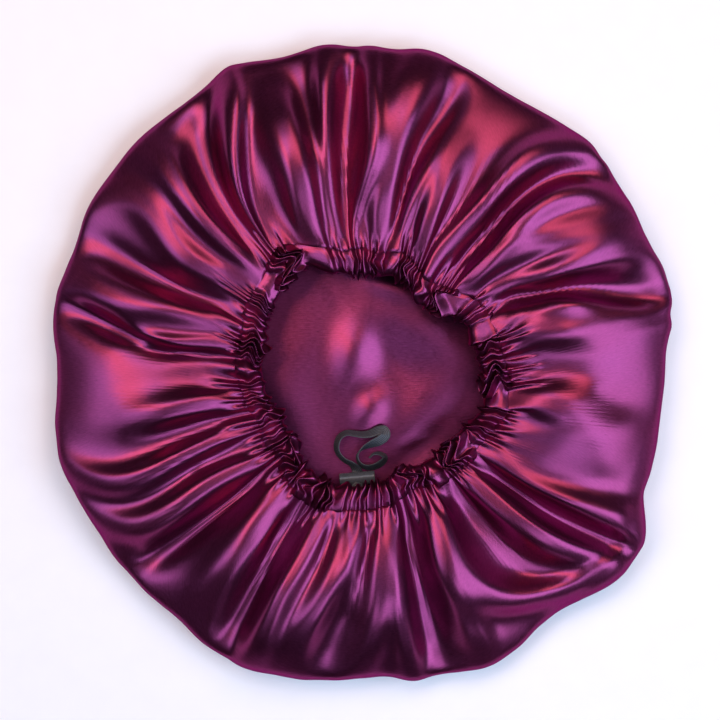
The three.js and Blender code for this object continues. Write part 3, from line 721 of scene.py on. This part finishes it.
direction = np.arange(CASING_COLUMNS) * 360 / CASING_COLUMNS
turn = np.concatenate([np.linspace(0, np.pi, 25), np.linspace(np.pi, 2 * np.pi, 9)[1:-1]])[:, None]
bell = np.exp(-(((direction[:, None] - ROLLS["at"] + 180) % 360 - 180) / ROLLS["half"]) ** 2)
pleat, edge = pleat_at(direction)
bottom = 0.12 + 0.88 * ease(np.sin(turn) * 2.5)
tall = PLEAT_TALL[pleat] + bell @ ROLLS["up"] * MM
tongue = (PLEAT_TONGUE[pleat] + bell @ ROLLS["in"] * MM) * edge
outwards, upwards = np.cos(turn), np.sin(turn)
radius = mouth_radius(direction, 1.5) + CASING_BAND * (1 + outwards) / 2 - tongue * ease(0.5 - outwards)
height = CASING_HEIGHT + CASING_THICK / 2 * upwards + tall * edge * bottom * np.maximum(upwards, 0) ** 0.4
sway = 1.6 * wobble(direction, np.arange(4, 30), 22) + bell @ ROLLS["bend"]
slant = 1.6 * wobble(direction, np.arange(4, 24), 24)
inwards = np.clip((0.3 - outwards) / 1.3, 0, 1)
aside = sway * np.sin(2 * np.pi * inwards) + slant * inwards + pleat_lean(direction) * edge * bottom
angle = np.radians(direction + aside)
casing_points = np.stack([MOUTH_CENTRE[0] + radius * np.cos(angle),
                          MOUTH_CENTRE[1] + radius * np.sin(angle), height], axis=-1)
flat = np.stack(np.broadcast_arrays(0.3 * np.radians(direction), CASING_BAND * turn / np.pi), -1)
casing = mesh_object("gathered_casing_cloth", casing_points.reshape(-1, 3),
                     [grid_faces(len(turn), CASING_COLUMNS, True, True)[:, ::-1]], flat.reshape(-1, 2))
casing.data.materials.append(satin)
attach(casing, "root")
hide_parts("gathered_casing")

# ---- Elastic inside the casing ----------------------------------------------------------------
# The same braided elastic, standing on edge all round inside the channel.
ring_turn = np.radians(np.arange(0, 360, 1.5))
ring_radius = mouth_radius(np.degrees(ring_turn), 4.0) + CASING_BAND / 2
ring_route = np.stack([MOUTH_CENTRE[0] + ring_radius * np.cos(ring_turn),
                       MOUTH_CENTRE[1] + ring_radius * np.sin(ring_turn),
                       np.full_like(ring_turn, CASING_HEIGHT)], axis=-1)
ring_points, ring_flat, ring_length = ribbon(
    np.vstack([ring_route[-1], ring_route, ring_route[0]]), np.zeros(len(ring_route) + 2),
    ELASTIC_WIDTH * 0.9, ELASTIC_THICK, ELASTIC_RIBS)
rows, columns = len(ring_route), ring_points.shape[1]
elastic_ring = mesh_object("braided_elastic_ring", ring_points[1:-1].reshape(-1, 3),
                           [grid_faces(rows, columns, True, True)], ring_flat[1:-1].reshape(-1, 2))
elastic_ring.data.materials.append(bpy.data.materials["elastic_braid"])
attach(elastic_ring, "root")
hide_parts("elastic_ring")

# ---- Floor and light --------------------------------------------------------------------------
# A plain pale floor, cool soft light from the right and left, and warm soft light from behind.
FLOOR_HALF = 4.0
FLOOR_DROP = 0.2 * MM
PAPER_LOW = (0.86, 0.86, 0.86, 1)
PAPER_HIGH = (0.90, 0.90, 0.90, 1)
COOL = (0.62, 0.76, 1.0)
WARM = (1.0, 0.60, 0.42)
NEUTRAL = (0.95, 0.85, 1.0)

# Each light's name, direction anticlockwise from +X and height above the floor in degrees, distance
# and size in metres, power in watts, and colour.
LIGHTS = [
    ("cool_right", -14, 46, 1.7, 1.3, 24, COOL),
    ("cool_front", 285, 55, 1.7, 0.8, 7, COOL),
    ("cool_left", 188, 50, 1.7, 0.9, 8, COOL),
    ("cool_back", 105, 58, 1.7, 0.7, 5, COOL),
    ("warm_back", 62, 52, 1.7, 0.9, 9, WARM),
    ("warm_left", 145, 60, 1.7, 0.8, 9, WARM),
    ("overhead", 340, 84, 1.9, 0.6, 0.7, NEUTRAL),
]


def floor_material():
    """Matt off-white paper with a trace of grain."""
    material, shader, add, link = new_material("pale_floor")
    place = add("ShaderNodeTexCoord").outputs["Object"]
    grain = add("ShaderNodeTexNoise", None, {"Scale": 60.0, "Detail": 3.0}, {"Vector": place})
    tone = add("ShaderNodeMix", {"data_type": "RGBA"}, {"A": PAPER_LOW, "B": PAPER_HIGH},
               {"Factor": grain.outputs["Fac"]})
    link(tone.outputs["Result"], shader.inputs["Base Color"])
    shader.inputs["Roughness"].default_value = 0.9
    return material


floor_points = np.array([(x, y, -FLOOR_DROP) for y in (-FLOOR_HALF, FLOOR_HALF)
                         for x in (-FLOOR_HALF, FLOOR_HALF)])
floor = mesh_object("floor", floor_points, [np.array([[0, 1, 3, 2]])])
floor.data.materials.append(floor_material())


def soft_light(name, azimuth, elevation, distance, size, power, colour):
    """A square soft light at an azimuth (degrees anticlockwise from +X) and elevation, aimed at the
    middle of the bonnet."""
    data = bpy.data.lights.new(name, "AREA")
    data.shape = "SQUARE"
    data.size = size
    data.energy = power
    data.color = colour
    lamp = bpy.data.objects.new(name, data)
    a, e = np.radians([azimuth, elevation])
    place = distance * np.array([np.cos(e) * np.cos(a), np.cos(e) * np.sin(a), np.sin(e)])
    lamp.location = place
    turn = np.arctan2(place[1], place[0])
    lamp.rotation_euler = (0, np.pi / 2 - e, turn)
    bpy.context.collection.objects.link(lamp)


for light in LIGHTS:
    soft_light(*light)

world = bpy.data.worlds.new("soft_surround")
world.use_nodes = True
world.node_tree.nodes["Background"].inputs["Color"].default_value = (0.9, 0.9, 0.92, 1)
world.node_tree.nodes["Background"].inputs["Strength"].default_value = 0.02
bpy.context.scene.world = world
bpy.context.scene.view_settings.view_transform = "Standard"
